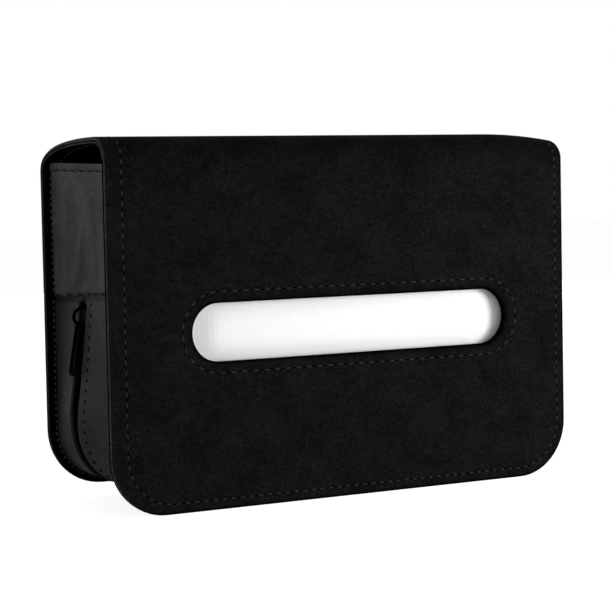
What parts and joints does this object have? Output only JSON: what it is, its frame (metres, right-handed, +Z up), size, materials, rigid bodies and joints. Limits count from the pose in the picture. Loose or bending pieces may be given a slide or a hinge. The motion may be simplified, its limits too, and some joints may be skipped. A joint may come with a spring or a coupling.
{
  "type": "car tissue holder",
  "caption": "Soft-sided car tissue holder with a stiff wrap-over lid and front flap, a long round-ended tissue slot and a zip round its lower sides.",
  "frame": {"origin": "bottom centre of the whole holder: the height of the flap's hem, in the middle of the width and the depth", "axes": "+X to the right seen from the front, -Y out of the front flap, +Z up"},
  "size_m": [0.22, 0.064, 0.15],
  "materials": {
    "wrap_leather": "black suede-like PU, matt with a fine grain",
    "side_leather": "black smooth PU, soft satin",
    "lining": "black woven lining",
    "stiffener": "grey fibre board, matt",
    "zip_tape": "black woven tape",
    "zip_coil": "black nylon coil",
    "zip_metal": "black enamel, glossy",
    "magnet": "nickel-plated disc",
    "paper": "white tissue, matt"
  },
  "bodies": {
    "case": {"back_leather": "wrap_leather", "back_board": "stiffener", "back_lining": "lining", "front_panel_leather": "wrap_leather", "front_panel_board": "stiffener", "front_panel_lining": "lining", "front_panel_magnet_left": "magnet", "front_panel_magnet_right": "magnet", "upper_gusset_left": "side_leather", "upper_gusset_right": "side_leather", "zip_strip_front": "side_leather", "zip_strip_rear": "side_leather", "zip_tape_front": "zip_tape", "zip_tape_rear": "zip_tape", "zip_coil_front": "zip_coil", "zip_coil_rear": "zip_coil", "zip_top_stop": "zip_metal", "zip_bottom_stop": "zip_metal", "tissue_stack": "paper"},
    "lid": {"lid_leather": "wrap_leather", "lid_board": "stiffener", "lid_lining": "lining"},
    "flap": {"flap_leather": "wrap_leather", "flap_board": "stiffener", "flap_lining": "lining", "flap_magnet_left": "magnet", "flap_magnet_right": "magnet"},
    "slider": {"zip_slider": "zip_metal"},
    "pull": {"zip_pull": "zip_metal"}
  },
  "joints": [
    {"name": "lid_fold", "type": "hinge", "parent": "case", "child": "lid", "pos_m": [0, 0.032, 0.1372], "axis": [-1, 0, 0], "range_deg": [0, 175]},
    {"name": "flap_fold", "type": "hinge", "parent": "lid", "child": "flap", "pos_m": [0, -0.032, 0.141], "axis": [-1, 0, 0], "range_deg": [0, 100]},
    {"name": "slider_run", "type": "slide", "parent": "case", "child": "slider", "axis": [-0.1139, 0, -0.9935], "range_m": [0, 0.028]},
    {"name": "pull_swing", "type": "hinge", "parent": "slider", "child": "pull", "pos_m": [-0.1069, 0.002, 0.07606], "axis": [0, 1, 0], "range_deg": [0, 150]}
  ]
}
